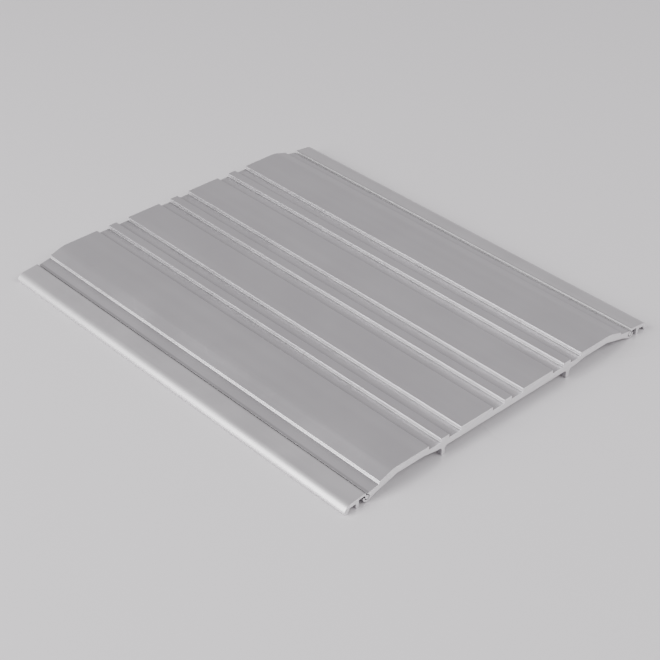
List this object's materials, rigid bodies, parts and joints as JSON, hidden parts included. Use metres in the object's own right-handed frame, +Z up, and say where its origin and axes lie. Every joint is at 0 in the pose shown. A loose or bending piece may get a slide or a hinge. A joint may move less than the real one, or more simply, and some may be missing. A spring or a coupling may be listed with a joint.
{
  "type": "threshold strip",
  "caption": "Wide low threshold strip: a ribbed aluminium cover plate on thin legs, with a round-nosed edge hinged along each long side.",
  "frame": {"origin": "middle of the strip's width and length, on the surface that it stands on", "axes": "+X across the strip, +Y along it, +Z up through the lands"},
  "size_m": [0.2, 0.24, 0.0094],
  "materials": {
    "plate_aluminium": "satin mill finish with fine lines along the strip, ends sawn",
    "nosing_aluminium": "satin mill finish, a little brighter, ends sawn"
  },
  "bodies": {
    "plate": {"cover_plate": "plate_aluminium"},
    "left_edge": {"left_nosing": "nosing_aluminium"},
    "right_edge": {"right_nosing": "nosing_aluminium"}
  },
  "joints": [
    {"name": "left_nosing_hinge", "type": "hinge", "parent": "plate", "child": "left_edge", "pos_m": [-0.0869, 0, 0.0026], "axis": [0, 1, 0], "range_deg": [-12, 12]},
    {"name": "right_nosing_hinge", "type": "hinge", "parent": "plate", "child": "right_edge", "pos_m": [0.0869, 0, 0.0026], "axis": [0, -1, 0], "range_deg": [-12, 12]}
  ]
}
